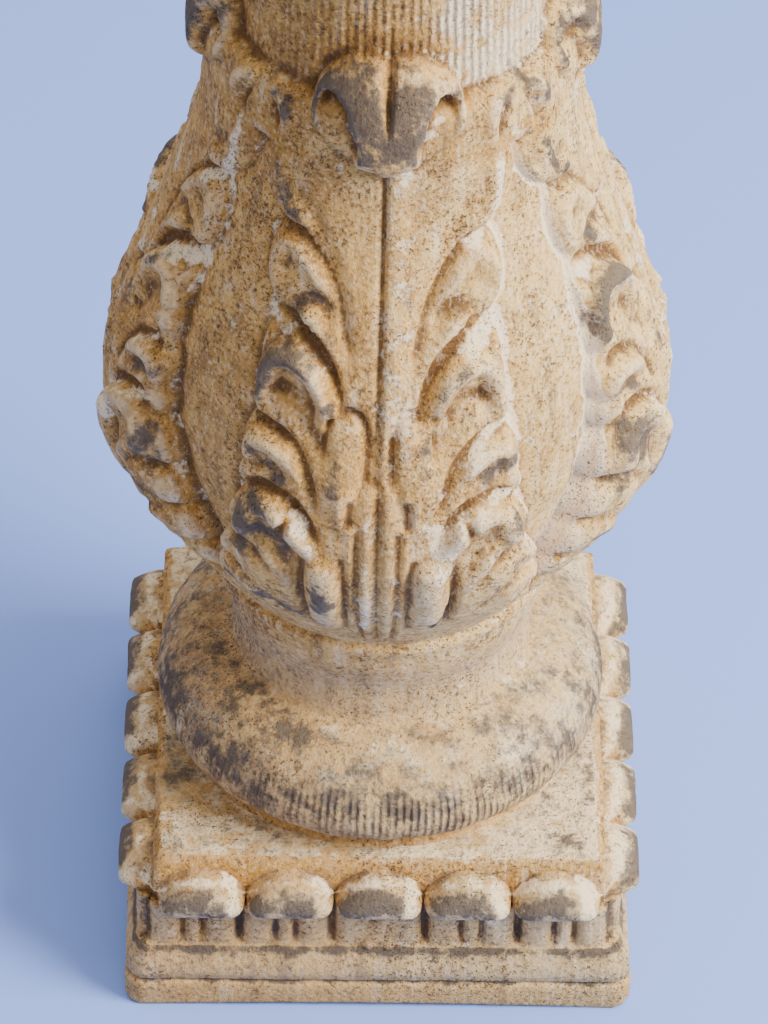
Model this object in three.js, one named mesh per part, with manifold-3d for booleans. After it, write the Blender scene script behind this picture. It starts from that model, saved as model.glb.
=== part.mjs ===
// Baluster-shaped stone pedestal: a square plinth with lobed mouldings, a cushion torus and a
// hollowed neck, a pear-shaped body wrapped by four acanthus leaves with turned-over tips, and
// a plain collar and square top plate. One piece of stone, standing on its flat underside.
// Millimetres, +Z up, origin at the centre of the underside, front of the plinth towards -Y.
import * as THREE from "three";
import { mergeVertices } from "three/addons/utils/BufferGeometryUtils.js";
import Module from "manifold-3d";

const wasm = await Module();
wasm.setup();

// Driving sizes
const plinthHalf = 90;
const plinthTop = 27.5;
const slabHalf = 78;
const slabTop = 64.5;
const lobesPerSide = 5;
const lobeReach = 92.2;
const torusRadius = 79.5;
const torusTop = 108;
const neckRadius = 51.7;
const lipRadius = 59.8;
const lipTop = 153;
const leafCount = 4;
const leafTurn = -2;
const leafFoot = 150;
const stripFoot = 194;
const stripTop = 366;
const shoulderTop = 389;
const tipFoot = 366;
const tipTop = 408.5;
const tipReach = 67;
const collarFoot = 436;
const plateHalf = 75;
const plateBottom = 472;
const totalHeight = 490;

// Helpers

const zAxis = new THREE.Vector3(0, 0, 1);
const clamp01 = (x) => Math.min(1, Math.max(0, x));

// 0 below a, 1 above b, smooth between.
function ease(a, b, x) {
  const t = clamp01((x - a) / (b - a));
  return t * t * (3 - 2 * t);
}

// 1 at the middle, 0 from the given half-width outwards.
function bump(distance, halfWidth) {
  const t = clamp01(Math.abs(distance) / halfWidth);
  return (1 - t * t) ** 2;
}

// A smooth curve through [height, radius] pairs, read back as radius at a height.
function profileCurve(pairs) {
  const heights = pairs.map(([height]) => height);
  const radii = pairs.map(([, radius]) => radius);
  const slopes = pairs.map((_, i) => {
    const a = Math.max(0, i - 1);
    const b = Math.min(pairs.length - 1, i + 1);
    return (radii[b] - radii[a]) / (heights[b] - heights[a]);
  });
  return (height) => {
    const last = heights.length - 1;
    const z = Math.min(heights[last], Math.max(heights[0], height));
    let i = 0;
    while (i < last - 1 && z > heights[i + 1]) i += 1;
    const span = heights[i + 1] - heights[i];
    const t = (z - heights[i]) / span;
    const rise = radii[i + 1] - radii[i];
    const bendA = slopes[i] * span - rise;
    const bendB = -slopes[i + 1] * span + rise;
    return radii[i] + rise * t + t * (1 - t) * (bendA * (1 - t) + bendB * t);
  };
}

// A closed solid from a stack of rings with equal point counts, capped flat at both ends.
function solidFromRings(rings) {
  const around = rings[0].length;
  const positions = rings.flat().flatMap((p) => [p.x, p.y, p.z]);
  const indices = [];
  for (let level = 0; level + 1 < rings.length; level += 1) {
    for (let i = 0; i < around; i += 1) {
      const next = (i + 1) % around;
      const a = level * around + i;
      const b = level * around + next;
      const upLeft = rings[level][next].distanceTo(rings[level + 1][i]);
      const upRight = rings[level][i].distanceTo(rings[level + 1][next]);
      if (upRight <= upLeft) indices.push(a, b, b + around, a, b + around, a + around);
      else indices.push(a, b, a + around, b, b + around, a + around);
    }
  }
  const capCentre = (ring) => {
    const centre = new THREE.Vector3();
    ring.forEach((p) => centre.addScaledVector(p, 1 / around));
    positions.push(centre.x, centre.y, centre.z);
    return positions.length / 3 - 1;
  };
  const bottom = capCentre(rings[0]);
  const top = capCentre(rings[rings.length - 1]);
  const topStart = (rings.length - 1) * around;
  for (let i = 0; i < around; i += 1) {
    const next = (i + 1) % around;
    indices.push(bottom, next, i);
    indices.push(top, topStart + i, topStart + next);
  }
  return toSolid(new Float32Array(positions), new Uint32Array(indices));
}

function toSolid(vertProperties, triVerts) {
  return new wasm.Manifold(new wasm.Mesh({ numProp: 3, vertProperties, triVerts }));
}

// A turned solid from [radius, height] pairs that start and end on the axis.
function turned(pairs, segments) {
  const points = pairs.map(([radius, height]) => new THREE.Vector2(radius, height));
  const lathe = new THREE.LatheGeometry(points, segments).rotateX(Math.PI / 2);
  lathe.deleteAttribute("normal");
  lathe.deleteAttribute("uv");
  const merged = mergeVertices(lathe, 1e-3);
  const faces = Array.from(merged.index.array);
  const corners = [];
  for (let i = 0; i < faces.length; i += 3) {
    const [a, b, c] = faces.slice(i, i + 3);
    if (a !== b && b !== c && c !== a) corners.push(a, b, c);
  }
  return toSolid(merged.attributes.position.array, new Uint32Array(corners));
}

// Square base

// A square ring with softened corners.
function plainRing(half, height, corner = 3) {
  const ring = [];
  for (let quarter = 0; quarter < 4; quarter += 1) {
    for (const degrees of [-90, -45, 0]) {
      const angle = ((quarter * 90 + degrees) * Math.PI) / 180;
      const middle = new THREE.Vector3(half - corner, -(half - corner), height);
      middle.applyAxisAngle(zAxis, (quarter * Math.PI) / 2);
      ring.push(middle.add(new THREE.Vector3(corner * Math.cos(angle), corner * Math.sin(angle), 0)));
    }
  }
  return ring;
}

const plinthLevels = [
  [plinthHalf - 1.2, 0],
  [plinthHalf, 1.2],
  [plinthHalf, 12],
  [plinthHalf - 0.8, 13],
  [plinthHalf - 0.8, 21.5],
  [plinthHalf - 4, plinthTop],
];
const plinth = solidFromRings(plinthLevels.map(([half, height]) => plainRing(half, height)));

// Stations along one side of the lobed course: each lobe in four parts, then its far end.
const lobePitch = (2 * slabHalf) / lobesPerSide;
const lobeParts = [0, 0.14, 0.5, 0.86];
const stations = [];
for (let lobe = 0; lobe < lobesPerSide; lobe += 1) {
  for (const part of lobeParts) stations.push((lobe + part) * lobePitch - slabHalf);
}
stations.push(slabHalf);

// Share of the full valley depth at a point along a side: 0 on a lobe's middle, 1 between lobes.
function valley(along) {
  const across = ((along + slabHalf) / lobePitch) % 1;
  return 1 - Math.sqrt(clamp01(1 - (2 * across - 1) ** 2));
}

// One ring of the lobed course: the lobes end at the slab's corners, which stand back.
function lobedRing(half, height, valleyDepth, valleyDrop) {
  const ring = [];
  const spread = Math.min(1, (half - 3) / slabHalf);
  const corner = Math.min(half, slabHalf + 2);
  const side = stations.map((along) => {
    const low = valley(along);
    return [along * spread, half - valleyDepth * low, height - valleyDrop * low];
  });
  side.push([corner, corner, height - valleyDrop]);
  for (let quarter = 0; quarter < 4; quarter += 1) {
    for (const [along, out, z] of side) {
      const point = new THREE.Vector3(along, -out, z);
      ring.push(point.applyAxisAngle(zAxis, (quarter * Math.PI) / 2));
    }
  }
  return ring;
}

// Levels from the panels up to the slab: half side, height, and how far the valleys between
// the lobes stand back and sink there.
const courseLevels = [
  [slabHalf + 6.5, plinthTop - 2, 0, 0],
  [slabHalf + 7.6, 46.5, 0.6, 0],
  [lobeReach - 3.5, 50, 2.6, 0],
  [lobeReach, 52.6, 3.4, 0.6],
  [lobeReach - 1.6, 56, 4.2, 1.8],
  [lobeReach - 6.2, 58.9, 4, 3],
  [slabHalf + 1.2, 60, 0, 2.4],
  [slabHalf - 0.5, slabTop, 0, 0],
];
const course = solidFromRings(courseLevels.map((level) => lobedRing(...level)));

// Torus, hollowed neck and the lip under the leaves

const footProfile = [[0, slabTop - 2], [68.5, slabTop - 2], [68.5, slabTop + 2.5]];
const torusCentre = { radius: 53, height: slabTop + 17.7 };
for (let degrees = -50; degrees <= 80; degrees += 130 / 6) {
  const angle = (degrees * Math.PI) / 180;
  const rise = degrees < 0 ? 18.2 : torusTop - torusCentre.height;
  footProfile.push([
    torusCentre.radius + (torusRadius - torusCentre.radius) * Math.cos(angle),
    torusCentre.height + rise * Math.sin(angle),
  ]);
}
const neckSteps = 4;
for (let i = 0; i <= neckSteps; i += 1) {
  const t = i / neckSteps;
  const flare = (lipRadius - 1 - neckRadius) * ease(0.25, 1, t) + 1.6 * bump(t, 0.35);
  footProfile.push([neckRadius + flare, torusTop + 1 + t * (lipTop - 8 - torusTop)]);
}
footProfile.push([lipRadius, lipTop - 4], [lipRadius - 0.3, lipTop], [0, lipTop]);
const foot = turned(footProfile, 40);

// Pear-shaped body with four acanthus leaves

// Radius of the smooth ground between the leaves, and of a leaf's crown along its midrib.
const ground = profileCurve([
  [leafFoot, 55.5], [168, 63], [189, 70.7], [220, 78.5], [241, 80.6], [272, 78.5], [298, 71.8],
  [324, 64], [350, 57.7], [376, 53.4], [408, 51], [440, 50],
]);
const crown = profileCurve([
  [leafFoot, 56.4], [160, 63.6], [168, 69.2], [177, 76], [185, 81.8], [194, 87], [202, 90.8],
  [211, 93.6], [222, 95.2], [235, 95], [252, 92.4], [268, 87.2], [285, 81.6], [302, 76], [318, 71],
  [335, 65.6], [351, 61.8], [365, 60.4], [390, 57], [408, 51.5],
]);

// Notches down one edge of a leaf: height, degrees from the midrib, and how far the lobe
// above the notch bulges past the line of the notches.
const notches = [
  { height: 178, degrees: 43.5, bulge: 0 },
  { height: 200, degrees: 38.5, bulge: 1.5 },
  { height: 216, degrees: 33, bulge: 3.5 },
  { height: 243, degrees: 29.5, bulge: 3.5 },
  { height: 268, degrees: 28.5, bulge: 3.5 },
  { height: 310, degrees: 28.5, bulge: 5.5 },
  { height: 340, degrees: 30, bulge: 7 },
  { height: stripTop, degrees: 40.5, bulge: 0 },
];

// Degrees from the midrib to a leaf's edge at a height, and how full the lobe is there.
function leafEdge(z) {
  const last = notches[notches.length - 1];
  if (z <= notches[0].height) return { degrees: notches[0].degrees, full: 1 };
  if (z >= last.height) return { degrees: last.degrees, full: 1 };
  const upper = notches.findIndex((notch) => notch.height > z);
  const [below, above] = [notches[upper - 1], notches[upper]];
  const share = (z - below.height) / (above.height - below.height);
  const arch = Math.sqrt(clamp01(1 - (2 * share - 1) ** 2));
  const line = below.degrees + share * (above.degrees - below.degrees);
  return { degrees: line + below.bulge * arch, full: z < notches[1].height ? 1 : arch };
}

const millimetresPerDegree = 1.42;

// A raised or sunk stroke along a smooth line through [degrees from the midrib, height].
function stroke(high, halfWidth, ...path) {
  const corners = path.map(([degrees, z]) => new THREE.Vector2(degrees * millimetresPerDegree, z));
  return { high, halfWidth, line: new THREE.SplineCurve(corners).getPoints(16) };
}

function strokeAt({ high, halfWidth, line }, degrees, z) {
  const here = new THREE.Vector2(degrees * millimetresPerDegree, z);
  return high * bump(Math.min(...line.map((p) => p.distanceTo(here))), halfWidth);
}

// Curling rims along the upper edge of each lobe, from the edge in towards the stem.
const rims = [
  stroke(1.4, 7, [34, 353], [26, 358], [17, 350]),
  stroke(1.8, 8, [33, 325], [27, 333], [17, 326]),
  stroke(5.2, 9, [31, 284], [26, 297], [15, 296], [9.5, 276]),
  stroke(3, 8, [32, 257], [25, 264], [16, 256]),
  stroke(4.6, 8.5, [35, 227], [27, 239], [18, 238], [12, 222]),
  stroke(2.6, 7, [37, 205], [30, 213], [23, 203]),
  stroke(3, 6.5, [12, 182], [12.5, 166]),
];

// Channels that part the lobes and run down beside the stem.
const channels = [
  stroke(-1.6, 6, [31, 341], [21, 336], [12, 322]),
  stroke(-3, 7, [30, 311], [20, 309], [12, 296], [8, 268]),
  stroke(-2.6, 8, [26, 282], [18, 277], [13, 262]),
  stroke(-2.4, 7.5, [27, 250], [18, 248], [11, 236]),
  stroke(-2.6, 7.5, [29, 222], [20, 220], [12, 200]),
  stroke(-1.8, 5, [8.5, 262], [8.5, 220], [7.5, 170]),
];

// Radius of a leaf's turned-over tip: a grooved tongue between two hollowed cheeks.
function tipRadius(degrees, z, around) {
  const up = (z - tipFoot) / (tipTop - tipFoot);
  if (up <= 0 || up >= 1) return 0;
  const under = 61 + (tipReach - 61) * Math.sqrt(clamp01(1 - (1 - up / 0.3) ** 2));
  const over = 50 + (tipReach - 50) * Math.sqrt(clamp01(1 - ((up - 0.3) / 0.7) ** 2));
  const taper = 9 + 16 * Math.sin(Math.min(1, up / 0.5) * (Math.PI / 2));
  const crest = 25 * Math.sqrt(1 - (Math.max(0, up - 0.6) / 0.5) ** 2);
  const across = clamp01(degrees / Math.min(taper, crest));
  const groove = 2.6 * bump(degrees, 3.6) * ease(0.15, 0.5, up);
  const cheek = 3.6 * bump(degrees - 16.5, 7.5) * bump(up - 0.45, 0.4);
  const rise = ((up < 0.3 ? under : over) - around) * (1 - across ** 2) ** 0.35;
  return around + Math.max(0, rise) - groove - cheek;
}

// Radius of the carved surface, by degrees from the nearest midrib and height. The edge of a
// leaf is a step down to the ground, except at the foot and the shoulders where leaves meet.
function carvedRadius(degrees, z, edge) {
  const plain = ground(z);
  if (z > shoulderTop) return Math.max(plain, tipRadius(degrees, z, plain));
  const proud = crown(z) - plain;
  const joined = z < stripFoot || z > stripTop - 1;
  if (degrees > edge.degrees + 0.1) return joined ? plain + 0.72 * proud : plain;
  const fall = (0.42 - 0.22 * edge.full) * ease(edge.degrees - 12, edge.degrees, degrees);
  const rim = Math.max(...rims.map((line) => strokeAt(line, degrees, z)));
  const channel = Math.min(...channels.map((line) => strokeAt(line, degrees, z)));
  const midrib = z > 262 ? -1.6 * bump(degrees, 3) : -1.6 * bump(degrees - 4.8, 2.8);
  const relief = (rim + channel + midrib) * ease(leafFoot + 6, leafFoot + 16, z);
  const radius = plain + proud * (joined ? 1 - 0.2 * fall : 1 - fall) + relief;
  return Math.max(radius, tipRadius(degrees, z, radius));
}

// Degrees of the columns on one side of a midrib: fixed by the stem, then spread to the edge.
const stemColumns = [1.8, 4.8, 8.5];
const edgeShares = [0.2, 0.42, 0.64, 0.84, 1];
function columnsAt(edge) {
  const stem = stemColumns[stemColumns.length - 1];
  const spread = edgeShares.map((share) => stem + share * (edge.degrees - stem));
  return [...stemColumns, ...spread, edge.degrees + 1.3];
}

const rowHeights = [
  leafFoot, 160, 168, 177, 185, 193, 195.5, 208, 216, 226, 237, 243, 250, 259, 268, 275, 283, 290,
  297, 304, 310, 318, 326, 333, 340, 348, 356, 363, 366, 369, 373, 380, 388.5, 390.5, 400, tipTop,
  collarFoot + 2,
];

function leafRing(z) {
  const ring = [];
  const step = 360 / leafCount;
  const edge = leafEdge(z);
  const half = columnsAt(edge);
  for (let leaf = 0; leaf < leafCount; leaf += 1) {
    const left = half.map((degrees) => -degrees).reverse();
    for (const degrees of [-step / 2, ...left, 0, ...half]) {
      const angle = ((leaf * step + degrees + leafTurn - 90) * Math.PI) / 180;
      const radius = carvedRadius(Math.abs(degrees), z, edge);
      ring.push(new THREE.Vector3(radius * Math.cos(angle), radius * Math.sin(angle), z));
    }
  }
  return ring;
}

const body = solidFromRings(rowHeights.map(leafRing));

// Collar and square top plate

const collarProfile = [[0, collarFoot - 4], [49, collarFoot - 4], [51, collarFoot]];
const beadRise = 5;
for (let degrees = -60; degrees <= 60; degrees += 40) {
  const angle = (degrees * Math.PI) / 180;
  collarProfile.push([52 + 8 * Math.cos(angle), collarFoot + 7 + beadRise * Math.sin(angle)]);
}
const coveHeight = plateBottom - collarFoot - 13;
const coveSteps = 3;
for (let i = 0; i <= coveSteps; i += 1) {
  const angle = (i / coveSteps) * (Math.PI / 2);
  const height = collarFoot + 13 + coveHeight * Math.sin(angle);
  collarProfile.push([54 + 16 * (1 - Math.cos(angle)), height]);
}
collarProfile.push([0, plateBottom]);
const collar = turned(collarProfile, 28);

const plateLevels = [
  [plateHalf - 3, plateBottom - 2],
  [plateHalf - 3, plateBottom + 3],
  [plateHalf, plateBottom + 5],
  [plateHalf, totalHeight - 1],
  [plateHalf - 1, totalHeight],
];
const plate = solidFromRings(plateLevels.map(([half, height]) => plainRing(half, height, 2)));

// The finished piece

const joined = [course, foot, body, collar, plate].reduce((all, piece) => all.add(piece), plinth);
const surface = joined.getMesh();
const geometry = new THREE.BufferGeometry();
geometry.setAttribute("position", new THREE.BufferAttribute(surface.vertProperties, 3));
geometry.setIndex(new THREE.BufferAttribute(surface.triVerts, 1));
geometry.computeVertexNormals();

const stone = new THREE.MeshStandardMaterial({ color: 0xc2a27a, roughness: 0.9, metalness: 0 });
const pedestal = new THREE.Mesh(geometry, stone);
pedestal.name = "pedestal";

const object = new THREE.Group();
object.add(pedestal);

export default object;
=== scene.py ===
"""Looks of the carved stone pedestal: one finely carved mesh in the place of the plain solid.

The mesh is a stack of rings that share one order of points, from the middle of the underside to
the middle of the top plate, so it is a single closed skin. Sizes are millimetres until the mesh
is made, and heights are from the floor. On a leaf, the angle called degrees is measured from its
midrib, and the one called signed is negative to the left of it.
"""

import math
from types import SimpleNamespace

import bpy
import numpy as np
from mathutils import Matrix, Vector


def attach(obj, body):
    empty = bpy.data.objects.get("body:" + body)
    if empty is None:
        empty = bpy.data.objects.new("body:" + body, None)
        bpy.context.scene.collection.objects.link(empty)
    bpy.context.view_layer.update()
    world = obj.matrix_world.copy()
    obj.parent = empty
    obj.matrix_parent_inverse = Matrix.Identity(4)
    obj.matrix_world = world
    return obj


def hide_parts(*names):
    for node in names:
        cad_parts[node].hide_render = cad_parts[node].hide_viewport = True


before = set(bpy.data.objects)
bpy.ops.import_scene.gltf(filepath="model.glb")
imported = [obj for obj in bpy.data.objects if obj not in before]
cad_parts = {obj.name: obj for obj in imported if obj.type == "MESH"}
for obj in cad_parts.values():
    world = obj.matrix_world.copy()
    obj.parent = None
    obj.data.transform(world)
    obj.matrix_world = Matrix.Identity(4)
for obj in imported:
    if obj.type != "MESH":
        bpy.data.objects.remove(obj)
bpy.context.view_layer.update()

# Driving sizes, the same as the solid's

PLINTH_HALF = 90.0
PLINTH_TOP = 27.5
SLAB_HALF = 78.0
SLAB_TOP = 64.5
LOBES_PER_SIDE = 5
LOBE_REACH = 92.2
TORUS_RADIUS = 79.5
TORUS_TOP = 108.0
NECK_RADIUS = 51.7
LIP_RADIUS = 59.8
LIP_TOP = 153.0
LEAF_COUNT = 4
LEAF_TURN = -2.0
LEAF_FOOT = 153.0
STRIP_FOOT = 178.0
STRIP_TOP = 366.0
SHOULDER_TOP = 389.0
TIP_FOOT = 366.0
TIP_TOP = 408.5
TIP_REACH = 67.0
COLLAR_FOOT = 436.0
PLATE_HALF = 75.0
PLATE_BOTTOM = 472.0
TOTAL_HEIGHT = 490.0

# Angles: between two sides, from a midrib to the middle of the bare strip, and to the front
QUARTER_TURN = 90.0
STRIP_MIDDLE = 45.0
FRONT = -90.0

# Columns of the skin: each quarter has one on its corner, one on its middle, and this many
# on each half between them
HALF_COLUMNS = 50
QUARTER_COLUMNS = 2 * HALF_COLUMNS + 2

# Width of one degree round a leaf, at a radius of 81 mm
MM_PER_DEGREE = 1.42

rng = np.random.default_rng(11)


# Curves and noise

def ease(a, b, x):
    """0 below a, 1 above b, smooth between."""
    t = np.clip((x - a) / (b - a), 0.0, 1.0)
    return t * t * (3 - 2 * t)


def band(a, b, c, d, x):
    """0 below a, 1 from b to c, 0 above d, smooth between."""
    return ease(a, b, x) * (1 - ease(c, d, x))


def bump(distance, half_width, power=2):
    """1 at the middle, 0 from the given half-width outwards."""
    t = np.clip(np.abs(distance) / half_width, 0.0, 1.0)
    return (1 - t * t) ** power


def gouged(distance, half_width):
    """Like bump, but fuller and with a crisper edge, as a gouge leaves it."""
    return bump(distance, half_width, power=1.25)


def smooth_curve(pairs):
    """A smooth curve through (height, radius) pairs, read back as radius at a height."""
    heights, radii = np.array(pairs, float).T
    slopes = np.empty_like(radii)
    slopes[1:-1] = (radii[2:] - radii[:-2]) / (heights[2:] - heights[:-2])
    slopes[0] = (radii[1] - radii[0]) / (heights[1] - heights[0])
    slopes[-1] = (radii[-1] - radii[-2]) / (heights[-1] - heights[-2])

    def read(height):
        z = np.clip(height, heights[0], heights[-1])
        i = np.clip(np.searchsorted(heights, z, side="right") - 1, 0, len(heights) - 2)
        span = heights[i + 1] - heights[i]
        t = (z - heights[i]) / span
        rise = radii[i + 1] - radii[i]
        bend_a = slopes[i] * span - rise
        bend_b = rise - slopes[i + 1] * span
        return radii[i] + rise * t + t * (1 - t) * (bend_a * (1 - t) + bend_b * t)

    return read


LATTICE = rng.uniform(-1, 1, (32, 32, 32))


def value_noise(points, scale):
    """Smooth noise between -1 and 1 at each point, with features about scale in size."""
    p = np.asarray(points, float) / scale
    cell = np.floor(p).astype(int)
    f = p - cell
    f = f * f * (3 - 2 * f)
    total = np.zeros(p.shape[:-1])
    for step in np.ndindex(2, 2, 2):
        weight = np.prod(np.where(step, f, 1 - f), axis=-1)
        i, j, k = np.moveaxis((cell + step) % len(LATTICE), -1, 0)
        total += weight * LATTICE[i, j, k]
    return total


def noise_up(z, row, depth, scale):
    """Noise that changes with height alone; row and depth say where in the noise it is read."""
    return value_noise(np.stack(np.broadcast_arrays(z, row, depth), -1), scale)


# Lines on a leaf

def spline(points, steps=8):
    """Points along a smooth line through the given corners."""
    p = np.array(points, float)
    p = np.vstack([2 * p[0] - p[1], p, 2 * p[-1] - p[-2]])
    out = []
    for i in range(1, len(p) - 2):
        a, b, c, d = p[i - 1:i + 3]
        for t in np.arange(steps) / steps:
            out.append(0.5 * (2 * b + (c - a) * t + (2 * a - 5 * b + 4 * c - d) * t * t
                              + (3 * b - a - 3 * c + d) * t ** 3))
    out.append(p[-2])
    return np.array(out)


def stroke(high, upper_width, lower_width, *path, ends=(0.35, 0.0)):
    """Relief along a line through (degrees, height): its height and its width on either side.

    The line runs from the leaf's edge to the stem, and its upper side is the one towards the
    tip. ends are the shares of the height that are left at the line's start and end."""
    line = spline([(degrees * MM_PER_DEGREE, z) for degrees, z in path])
    return {"high": high, "upper": upper_width, "lower": lower_width, "line": line, "ends": ends}


def smears(*rows):
    """Stains along lines, equally wide on both sides: strength, width, and the line's corners."""
    return [stroke(strength, width, width, *path, ends=(0.8, 0.8)) for strength, width, *path in rows]


def from_stroke(mark, degrees, z):
    """Distance of each point from a stroke's line as a share of its width, and how far along."""
    x = degrees * MM_PER_DEGREE
    line = mark["line"]
    steps = np.diff(line, axis=0)
    lengths = np.hypot(*steps.T)
    starts = np.concatenate([[0], np.cumsum(lengths)])
    best = np.full(x.shape, np.inf)
    side = np.zeros(x.shape)
    along = np.zeros(x.shape)
    for (ax, az), (dx, dz), length, start in zip(line, steps, lengths, starts):
        t = np.clip(((x - ax) * dx + (z - az) * dz) / (length ** 2 + 1e-9), 0, 1)
        away = np.hypot(x - ax - t * dx, z - az - t * dz)
        nearer = away < best
        best = np.where(nearer, away, best)
        side = np.where(nearer, dx * (z - az) - dz * (x - ax), side)
        along = np.where(nearer, start + t * length, along)
    # The lines run towards smaller degrees, so the upper side has the negative sign
    width = np.where(side < 0, mark["upper"], mark["lower"])
    return best / width, along / starts[-1]


def stroke_at(mark, degrees, z):
    """Height of a stroke at each point, fading towards its two ends."""
    away, share = from_stroke(mark, degrees, z)
    start, end = mark["ends"]
    fade_in = start + (1 - start) * ease(0, 0.15, share)
    fade_out = end + (1 - end) * (1 - ease(0.6, 1, share))
    return mark["high"] * (fade_in * fade_out) * gouged(away, 1.0)


def stain_at(marks, signed, z):
    """Strength from 0 to 1 of the strongest of some smears at each point."""
    return np.clip(np.max([stroke_at(mark, signed, z) for mark in marks], axis=0), 0, 1)


# Rings of the skin

# The columns of a square ring stand at stations along a side, closer beside each lobe's grooves
LOBE_PITCH = 2 * SLAB_HALF / LOBES_PER_SIDE
STATION_SHARES = (0, 0.03, 0.07, 0.12, 0.18, 0.25, 0.32, 0.375, 0.41, 0.445, 0.5,
                  0.555, 0.59, 0.625, 0.68, 0.75, 0.82, 0.88, 0.93, 0.97)
stations = [(lobe + share) * LOBE_PITCH - SLAB_HALF
            for lobe in range(LOBES_PER_SIDE) for share in STATION_SHARES]
stations = np.array(stations + [SLAB_HALF])

# Where each station stands in its lobe: as a share from the left, from -1 to 1 across it, and
# how far from its middle. arch is the height of a lobe's round top there, as a share.
lobe_share = ((stations + SLAB_HALF) / LOBE_PITCH) % 1
across_lobe = 2 * lobe_share - 1
off_middle = np.abs(across_lobe)
arch = 0.04 + 0.96 * (1 - off_middle ** 2) ** 0.8

STAINS = ("soot", "chalk", "ochre", "rasped")


def ring_of(points, **stains):
    """One ring: its points, and from 0 to 1 the stains and rasp marks at each of them."""
    columns = [np.broadcast_to(stains.get(name, 0.0), points.shape[:1]) for name in STAINS]
    return np.column_stack([points, *columns])


def square_ring(reach, height, corner, run, **stains):
    """One square ring: its four corners, and the stations along each side between them.

    reach is how far each station stands out, for all sides or for each of the four. corner is
    half the square of the corners' own points, and run half the length that the stations fill."""
    count = len(stations)
    reach = np.broadcast_to(reach, (4, count))
    height = np.broadcast_to(height, (count,))
    sides = {name: np.broadcast_to(stain, (4, count)) for name, stain in stains.items()}
    stains = {name: np.hstack([stain[:, :1], stain]).ravel() for name, stain in sides.items()}
    points = []
    for quarter in range(4):
        turn = quarter * math.pi / 2
        cos, sin = math.cos(turn), math.sin(turn)
        x = np.concatenate([[-corner], stations * (run / SLAB_HALF)])
        y = -np.concatenate([[corner], reach[quarter]])
        z = np.concatenate([height[:1], height])
        points.append(np.column_stack([x * cos - y * sin, x * sin + y * cos, z]))
    return ring_of(np.concatenate(points), **stains)


# Rounding of the plinth's corners, of the slab's and plate's, and of the last ring's on top: how
# far the corner's point is drawn in, and how far before it the straight stretch ends
SOFT_CORNER = (1.9, 5.4)
CRISP_CORNER = (0.6, 2.4)
INNER_CORNER = (1.0, 3.0)


def rounded_square(half, height, rounding, lift=0.0, **stains):
    """A square ring with rounded corners; lift bows its edges up in the middle."""
    drawn_in, cut_back = rounding
    z = height + lift * (1 - (stations / SLAB_HALF) ** 2)
    return square_ring(half, z, half - drawn_in, half - cut_back, **stains)


def round_ring(radius, height, angles, **stains):
    """One level ring of the turned parts."""
    level = np.broadcast_to(height, angles.shape)
    return ring_of(np.stack([radius * np.cos(angles), radius * np.sin(angles), level], -1), **stains)


# Plinth

UNDERSIDE_HALVES = (30.0, PLINTH_HALF - 3)
FASCIA_TOP = 12
FASCIA_GROOVE = 12.8
PLINTH_SHOULDER = 26.5

# Edge of the plinth from the floor up: how far out of its half width, height, and how much
# the edge bows up in the middle of a side
PLINTH_PROFILE = (
    (-1.2, 0, 1.5), (-0.3, 0.5, 1.5), (0, 1.8, 1.3), (0, 5, 0.6), (0.1, 8.5, 0), (0, 11.2, 0),
    (-0.5, FASCIA_TOP, 0), (-1.7, 12.5, 0), (-1.7, 13.2, 0), (-0.7, 13.8, 0), (-0.6, 17, 0),
    (-0.9, 20.5, 0), (-1.6, 22, 0), (-2.6, 24, 0), (-3.2, 26.2, 0), (-4.1, 27.3, 0),
)


def plinth_rings():
    """The underside and the two fascias, grimy in the groove between them and on the shoulder."""
    rings = [rounded_square(half, 0.0, SOFT_CORNER) for half in UNDERSIDE_HALVES]
    for outward, height, lift in PLINTH_PROFILE:
        grime = 0.9 * bump(height - FASCIA_GROOVE, 1.6) + bump(height - PLINTH_SHOULDER, 4.5)
        rings.append(rounded_square(PLINTH_HALF + outward, height, SOFT_CORNER, lift,
                                    soot=grime, ochre=0.5 * (height < FASCIA_TOP)))
    return rings


# Course of panels and lobes, and the slab's edge

PANEL_HALF = 85.2
PANEL_CORNER = SLAB_HALF + 3
PANEL_RUN = PANEL_HALF - 3.2
PANEL_HEIGHTS = (27.8, 29.0, 32.5, 36, 40, 43.5, 45.8, 46.8)
PANEL_HOLE = (-1.6, 38.8)

LOBE_WALL = 79.6
LOBE_CORNER = SLAB_HALF + 1.8
LOBE_MIDDLE = 49.6
LOBE_RISE = 11.8
LOBE_DROP = 3.2
LOBE_TILTS = (-75, -35, -10, 14, 32, 48, 63, 77, 90)
SPANDREL_TOP = 61.3

# Edge of the slab: how far out of its half width, height, ochre and chalk
SLAB_CHALK = 0.85
SLAB_EDGE = (
    (1.2, 62.2, 0.9, 0), (0.3, 62.7, 0.8, 0), (-0.1, 63.8, 0.7, 0.2), (-0.9, 64.35, 0.5, 0.3),
    (-2.0, SLAB_TOP, 0.1, SLAB_CHALK), (-5, SLAB_TOP, 0, SLAB_CHALK),
)


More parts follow.
